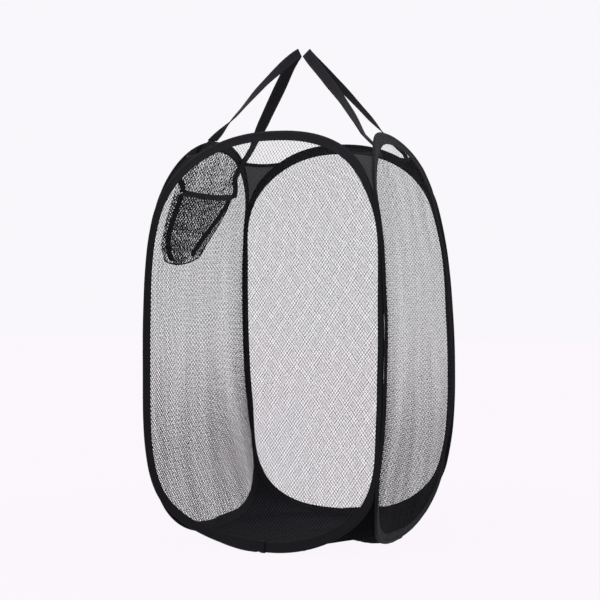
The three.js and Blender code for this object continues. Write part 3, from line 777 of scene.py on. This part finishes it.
# corner gussets of cloth, the top ones with a hem along the edge
gussetLook = {"columns": 20, "rows": 16, "ripple": 1.6, "hemTall": 5.5, "hemThick": 1.6, "hemBevel": 0.5,
              "hemRaise": 1.2, "hemSteps": 16}
gussetKinds = {"top": {"tip": 458.0, "edge": 557.0, "sag": 0.05, "drop": 3.0, "cloth": "floor_cloth"},
               "bottom": {"tip": 98.0, "edge": 5.2, "sag": 0.01, "drop": -6.0, "cloth": "floor_cloth"}}
gussetChanges = {  # where one isn't like the others; rise is how much higher its far end lies
    "top_front_right": {"tip": 480.0, "cloth": "gusset_cloth"},
    "top_back_right": {"edge": 564.0},
    "top_back_left": {"tip": 488.0, "edge": 561.5, "cloth": "gusset_cloth"},
    # the right-hand bottom gussets take the darker cloth, painted shade
    "bottom_front_right": {"edge": 17.0, "rise": 7.0, "drop": 0.0, "cloth": "shaded_foot_cloth"},
    "bottom_back_right": {"cloth": "shaded_foot_cloth"}}


def gussetShape(kind, corner):
    return {"rise": 0.0, **gussetKinds[kind], **gussetChanges.get(f"{kind}_{corner}", {})}


def gussetSpot(corner, across, z, sag=0.0, drop=0.0, rise=0.0):
    own, following = corners[corner]
    a = place(own, spanAt(tapeCores[own], z)[1], 0, z)
    b = place(following, spanAt(tapeCores[following], z + rise)[0], 0, z + rise)
    outward = (a + b).normalized()
    outward.z = 0
    outward.normalize()
    bend = 4 * across * (1 - across)
    point = a.lerp(b, across) + outward * (b - a).length * sag * bend
    point.z -= drop * mm * bend
    ripple = noise.noise(Vector((across * 3.0, z * 0.02, turns[own] * 5.0))) * gussetLook["ripple"] * mm * bend
    return point + outward * ripple


def makePanel(kind, corner, side, low):
    shape = gussetShape(kind, corner)

    def spot(across, up):
        z = between(shape["tip"], shape["edge"], up)
        return gussetSpot(corner, low + 0.5 * across, z, shape["sag"], shape["drop"] * up * up, shape["rise"] * up)

    def flat(across, up):
        z = between(shape["tip"], shape["edge"], up)
        chord = (gussetSpot(corner, 1.0, z) - gussetSpot(corner, 0.0, z)).length
        return ((low + 0.5 * across - 0.5) * chord, z * mm)

    return clothGrid(f"{kind}_gusset_{corner}_on_{side}", gussetLook["columns"], gussetLook["rows"], spot, flat,
                     shape["cloth"])


def makeHem(corner, side, low):
    shape, steps = gussetShape("top", corner), gussetLook["hemSteps"]
    middle = shape["edge"] - gussetLook["hemTall"] / 2 + gussetLook["hemRaise"]
    path = [gussetSpot(corner, low + 0.5 * i / steps, middle, shape["sag"], shape["drop"])
            for i in range(steps + 1)]
    return strapPiece(f"top_hem_{corner}_on_{side}", path, [Vector((0, 0, 1))] * len(path),
                      (gussetLook["hemTall"], gussetLook["hemThick"], gussetLook["hemBevel"]), "tape")


for corner, pair in corners.items():
    for kind in gussetKinds:
        # two halves, each riding its own side
        for side, low in zip(pair, (0.0, 0.5)):
            panel = makePanel(kind, corner, side, low)
            enter(panel, side, f"{kind}_gusset_{corner}")
            sheetFrom(panel)
        if kind == "top":
            for side, low in zip(pair, (0.0, 0.5)):
                enter(makeHem(corner, side, low), side)
print("gussets ready")

# floor cloth: its rim follows the foot gussets' edges and the side tapes between them
floorLook = {"rise": 1.4, "cells": 48, "rumple": 3.0, "thick": 1.0, "size": 0.3, "cut": 0.296, "keep": 0.03,
             "gussetSteps": 12, "tapeSteps": 24, "offTape": 0.6, "liftBeside": 10.0, "liftSteps": 9,
             "rampFrom": 9.0, "rampOver": 7.0, "rampStart": 0.3, "rimPower": 12}
floorRim = []
for corner, (own, following) in corners.items():
    shape = gussetShape("bottom", corner)
    for i in range(floorLook["gussetSteps"] + 1):
        floorRim.append(gussetSpot(corner, i / floorLook["gussetSteps"], shape["edge"], shape["sag"],
                                   shape["drop"], shape["rise"]))
    startU = spanAt(tapeCores[following], shape["edge"] + shape["rise"])[0]
    endU = spanAt(tapeCores[following], gussetShape("bottom", sideEnds[following][1])["edge"])[1]
    for i in range(1, floorLook["tapeSteps"]):
        u = between(startU, endU, i / floorLook["tapeSteps"])
        height = min(z for w, z in tapeCores[following] if abs(w - u) < nearby) + floorLook["offTape"]
        if shape["rise"]:
            height += floorLook["liftBeside"] * max(0.0, 1 - i / floorLook["liftSteps"])
        floorRim.append(place(following, u, 0, height))


def floorReach(angle):
    # how far the rim lies from the middle at this angle, and how high
    way, best, height = Vector((math.cos(angle), math.sin(angle))), 0.0, 0.0
    for a, b in zip(floorRim, floorRim[1:] + floorRim[:1]):
        edgeWay = b.xy - a.xy
        cross = way.x * edgeWay.y - way.y * edgeWay.x
        if abs(cross) < 1e-12:
            continue
        far = (a.x * edgeWay.y - a.y * edgeWay.x) / cross
        share = (a.x * way.y - a.y * way.x) / cross
        if far > best and -1e-6 <= share <= 1 + 1e-6:
            best, height = far, between(a.z, b.z, share)
    return best, height


def floorSpot(across, up):
    x, y = across * 2 - 1, up * 2 - 1
    ring = max(abs(x), abs(y))
    if ring < 1e-6:
        return Vector((0, 0, floorLook["rise"] * mm))
    angle = math.atan2(y, x)
    reach, rim = floorReach(angle)
    rumple = abs(noise.noise(Vector((x * 2.1, y * 2.1, 4.0)))) * floorLook["rumple"] * (1 - ring ** 4)
    z = (floorLook["rise"] + rumple) * mm
    # where the rim is high the cloth slopes up to it from far in
    lifted = smoothStep((rim / mm - floorLook["rampFrom"]) / floorLook["rampOver"])
    slope = max(0.0, (ring - floorLook["rampStart"]) / (1 - floorLook["rampStart"]))
    z = between(z, rim, between(ring ** floorLook["rimPower"], slope, lifted))
    return Vector((math.cos(angle) * reach * ring, math.sin(angle) * reach * ring, z))


floorCloth = clothGrid("floor_panel", floorLook["cells"], floorLook["cells"], floorSpot,
                       lambda across, up: ((across - 0.5) * floorLook["size"], (up - 0.5) * floorLook["size"]),
                       "floor_cloth", floorLook["thick"] * mm)
enter(floorCloth, "front", "floor_cloth")
print("floor cloth ready")

# pocket inside the left side: places along it and heights, in its own frame
pocketLook = {
    "nearSeam": ((103, 404), (117, 417), (122, 430), (123, 450), (118, 474), (111, 500)),
    "farSeam": ((46, 408), (40, 417), (11, 441), (-10, 459), (-33, 480), (-54, 502)),
    "nearBack": ((118, 404), (131, 413), (136, 427), (131, 446), (124, 470), (116, 490), (112, 506), (112, 530)),
    "farBack": ((8, 409), (-8, 424), (-32, 442), (-55, 461), (-76, 482), (-88, 501), (-86, 523), (-80, 534),
                (-90, 548), (-98, 560)),
    "foot": 400.0, "mouth": 505.0, "depthFoot": 6.0, "depthMouth": 16.0, "stray": 2.4,
    "frontTop": 502.0, "frontFoot": 396.6, "frontFootCurve": 5.6, "frontFootSlope": 5.0, "frontBelly": 2.5,
    "shutAtFoot": 0.35, "shutRise": 4, "backFoot": 397.5, "backFootFar": 10, "backFootNear": 5, "offSide": 1.4,
    "crownTop": 530, "crownElse": 520.0, "sideFoot": 412, "sideTall": 88, "sideBack": 1.6,
    "bandFrom": 113, "bandSpan": 173, "bandBelly": 2.8, "bandSag": 2.2, "bandFarRise": 1.5,
    "tapeSize": (7.5, 1.4), "tapeBevel": 0.35, "tapeSteps": 24,
    "frontKeep": 0.65, "nearSeamKeep": 0.8, "rimKeep": 0.18,
}


def pocketPlace(u, b, z):
    # the side strays along x at its corners, so the pocket is set along it to sit evenly
    return place("left", u + pocketLook["stray"] * sideDrift("left", u, z), b, z)


def alongAt(line, z):
    for (u0, z0), (u1, z1) in zip(pocketLook[line], pocketLook[line][1:]):
        if z <= z1:
            return u0 + (u1 - u0) * (z - z0) / (z1 - z0)
    return pocketLook[line][-1][0]


def pocketDepth(z):
    share = smoothStep((z - pocketLook["foot"]) / (pocketLook["mouth"] - pocketLook["foot"]))
    return between(pocketLook["depthFoot"], pocketLook["depthMouth"], share)


def pocketFrontSpot(across, up):
    look = pocketLook
    curve = 1 - max(0.0, 1 - (2 * across - 1) ** 2) ** 0.5  # the foot is round: low in the middle of its width
    low = look["frontFoot"] + look["frontFootCurve"] * curve + look["frontFootSlope"] * across
    z = between(low, look["frontTop"], up)
    u = between(alongAt("nearSeam", z), alongAt("farSeam", z), across)
    shut = min(1.0, look["shutAtFoot"] + look["shutRise"] * up)
    return pocketPlace(u, pocketDepth(z) * shut + look["frontBelly"] * math.sin(math.pi * across) * up, z)


def crownTapeZ(u):
    # the height of the net's upper edge at this place along the side
    return max([z for w, z in netLoops["left"] if abs(w - u) < nearby and z > pocketLook["foot"] + 3],
               default=pocketLook["crownElse"])


def pocketBackSpot(across, up):
    look = pocketLook
    low = look["backFoot"] + look["backFootFar"] * across ** 2.4 + look["backFootNear"] * (1 - across) ** 6
    u = alongAt("nearBack", look["crownTop"])
    for _ in range(8):  # comes closer to the edge each time
        z = between(low, crownTapeZ(u), up)
        u = between(alongAt("nearBack", z), alongAt("farBack", z), across)
    return pocketPlace(u, look["offSide"], z)


def pocketSideSpot(seam, back, across, up):
    z = pocketLook["sideFoot"] + pocketLook["sideTall"] * up
    behind = pocketPlace(alongAt(back, z), pocketLook["sideBack"], z)
    return pocketPlace(alongAt(seam, z), pocketDepth(z), z).lerp(behind, across)


def pocketSheet(name, columns, rows, spot, flatSize, node, body="left", standing=False):
    def flat(across, up):
        # the place in the left side, or the true width across for a net that stands out from it
        if standing:
            first, last = spot(0.0, up), spot(1.0, up)
            return ((last - first).length * across, first.z)
        point = spot(across, up)
        return (-point.y, point.z)

    sheet = clothGrid(name, columns, rows, spot, flat, "pocket_side_net" if standing else "pocket_net")
    enter(sheet, "left", node, body)
    sheetFrom(sheet, flatSize)


def pocketTape(name, points, way, node=None, body="left", size=pocketLook["tapeSize"]):
    # points give the place along the side, the distance inside it and the height
    path = evenPath([pocketPlace(*point) for point in points], pocketLook["tapeSteps"])
    widths = [squareTo(path, k, Vector(way)) for k in range(len(path))]
    tape = strapPiece(name, path, widths, (*size, pocketLook["tapeBevel"]), "tape")
    enter(tape, "left", node, body)


def seamRun(line, heights, lift):
    return [(alongAt(line, z), pocketDepth(z) + lift, z) for z in heights]


def bandPoint(share):
    look, bend = pocketLook, math.sin(math.pi * share)
    return (look["bandFrom"] - look["bandSpan"] * share, pocketDepth(look["frontTop"]) + look["bandBelly"] * bend,
            look["frontTop"] - look["bandSag"] * bend + look["bandFarRise"] * share ** 4)


pocketSheet("pocket_back_net", 30, 26, pocketBackSpot, (0.225, 0.170), "pocket_back_mesh")
pocketSheet("pocket_front_net", 24, 18, pocketFrontSpot, (0.170, 0.098), "pocket_front_mesh", "pocket_front")
pocketTape("pocket_near_seam_tape", seamRun("nearSeam", (404, 412, 430, 452, 476, 499), -2.4), (1, 0.25, 0),
           "pocket_near_seam", "pocket_front")
pocketTape("pocket_far_seam_tape", seamRun("farSeam", (411, 420, 440, 460, 480, 499), 1.4), (0.5, 1, 0.3),
           "pocket_far_seam", "pocket_front", (6.5, 1.4))
pocketTape("pocket_band", [bandPoint(i / 8) for i in range(9)], (0.15, 0, 1), "pocket_mouth_band",
           "pocket_front", (8.5, 2.4))
pocketSheet("pocket_near_side_net", 4, 14, partial(pocketSideSpot, "nearSeam", "nearBack"), (0.035, 0.100),
            "pocket_near_side", standing=True)
pocketSheet("pocket_far_side_net", 8, 14, partial(pocketSideSpot, "farSeam", "farBack"), (0.052, 0.118),
            "pocket_far_side", standing=True)
pocketTape("pocket_near_rim_tape", ((113, 16, 503), (113, 13, 511), (117, 8, 521), (124, 4, 532)),
           (0.7, 0.7, 0), "pocket_near_rim", size=(8.0, 1.4))
pocketTape("pocket_far_rim_tape", ((-58, 15, 503), (-80, 10, 507), (-86, 8, 517), (-80, 6, 533), (-89, 4.5, 547),
                                   (-99, 3.6, 560)),
           (0.55, 0.9, 0), "pocket_far_rim", size=(9.0, 1.4))
pocketTape("pocket_foot_seam", ((128, 2.4, 409), (119, 2.6, 402), (84, 2.6, 398.5), (44, 2.6, 402), (10, 2.4, 410)),
           (0, 0, 1), size=(2.2, 1.0))
pocketTape("pocket_far_back_seam", [(alongAt("farBack", z), 2.4, z) for z in (411, 424, 442, 461, 482, 499)],
           (0, 1, 0.6), size=(3.0, 1.0))
pocketTape("pocket_back_pleat", ((-44, 2.4, 506), (-73, 2.4, 534), (-92, 2.4, 554)), (0, 1, 0.6), size=(1.8, 1.0))
print("pocket ready")

# handles: sewn ends on the inner face of the crown tapes, and the straps that swing from them
handleLook = {"size": (20.0, 1.5, 0.3), "steps": 56, "squareOver": 5, "hingeZ": 581.4, "sewnHigh": 562.0,
              "offTape": 3.6, "tailSteps": 20, "keep": 0.26}
handleRuns = {
    # each run: height share, bow along x, width direction, width share
    # tails: place along the side at the low end and at the high end, and the low end's height
    "left": {"peak": (-10.8, 0.0, 713.5), "ends": {"near": (-127.5, -58.0), "far": (-127.5, 91.0)},
             "tails": {"near": (63.0, 62.0, 554.0), "far": (-97.0, -97.0, 554.0)},
             "near": ((0.0, 0.0, (-0.3, -0.9, 0), 1), (0.3, -2.5, (0.25, -0.75, -0.35), 1),
                      (0.62, -8.0, (0.3, -0.5, -0.5), 1), (0.9, -5.5, (0.4, -0.1, -0.75), 0.85)),
             "top": ((0.4, 0.0, -0.92), 0.68),
             "far": ((0.0, 0.0, (0, 1, 0), 1), (0.3, -2.5, (0.4, 0.85, -0.2), 1),
                     (0.62, -4.0, (0.5, 0.75, -0.3), 1), (0.9, -5.0, (0.5, 0.4, -0.6), 0.9))},
    "right": {"peak": (-2.6, 2.0, 715.0), "ends": {"near": (115.0, -77.0), "far": (113.0, 59.0)},
              "tails": {"near": (-82.0, -82.0, 549.0), "far": (63.0, 61.0, 555.0)},
              "near": ((0.0, 0.0, (0, 1, 0), 1), (0.3, 4.0, (0.25, 0.9, 0.1), 1),
                       (0.62, 3.0, (0.55, 0.62, 0.25), 1), (0.9, 0.0, (0.55, 0.3, 0.6), 0.9)),
              "top": ((0.66, 0.0, 0.75), 0.75),
              "far": ((0.0, 0.0, (0, -1, 0), 1), (0.3, 2.0, (0.3, -0.85, 0.35), 1),
                      (0.62, 3.0, (0.4, -0.75, 0.45), 1), (0.9, 0.0, (0.5, -0.3, 0.7), 0.85))},
}


def strapRun(run):
    # points and width directions of one strap, from its near hinge over the peak to its far one
    peak, legs = Vector(run["peak"]), {}
    for where in ("near", "far"):
        end = Vector((*run["ends"][where], handleLook["hingeZ"]))
        legs[where] = [(end.lerp(peak, share) + Vector((bow, 0, 0)), Vector(way) * scale)
                       for share, bow, way, scale in run[where]]
    row = legs["near"] + [(peak, Vector(run["top"][0]) * run["top"][1])] + legs["far"][::-1]
    points = evenPath([point * mm for point, way in row], handleLook["steps"])
    marks, widths, last = lengthsAlong([point for point, way in row]), [], len(points) - 1
    for k in range(last + 1):
        spot = marks[-1] * k / last
        leg = max(i for i in range(len(marks) - 1) if marks[i] <= spot + 1e-9)
        share = smoothStep((spot - marks[leg]) / (marks[leg + 1] - marks[leg]))
        way = row[leg][1].lerp(row[leg + 1][1], share)
        square = smoothStep(min(k, last - k) / handleLook["squareOver"])
        widths.append(squareTo(points, k, way, square) * way.length)
    return points, widths


def makeTail(side, where, run):
    # a strap's sewn end, from the tape up to the strap's hinge
    x, y = run["ends"][where]
    lowU, highU, lowZ = run["tails"][where]
    hingeSpot = Vector((x, y, handleLook["hingeZ"])) * mm
    slope = (Vector(run["peak"]) * mm - hingeSpot).normalized()
    sewn = [place(side, between(lowU, highU, k / 3), handleLook["offTape"],
                  between(lowZ, handleLook["sewnHigh"], k / 3)) for k in range(4)]
    tail = evenPath([*sewn, sewn[-1].lerp(hingeSpot, 0.5) - slope * mm, hingeSpot], handleLook["tailSteps"])
    return strapPiece(f"{side}_strap_{where}_end", tail, [Vector((0, 1, 0))] * len(tail), handleLook["size"],
                      "webbing")


for side, run in handleRuns.items():
    strap = strapPiece(f"{side}_strap", *strapRun(run), handleLook["size"], "webbing")
    enter(strap, side, f"{side}_handle", f"handle_{side}")
    for where in ("near", "far"):
        enter(makeTail(side, where, run), side, f"{side}_handle_{where}_end")
print("handles ready")
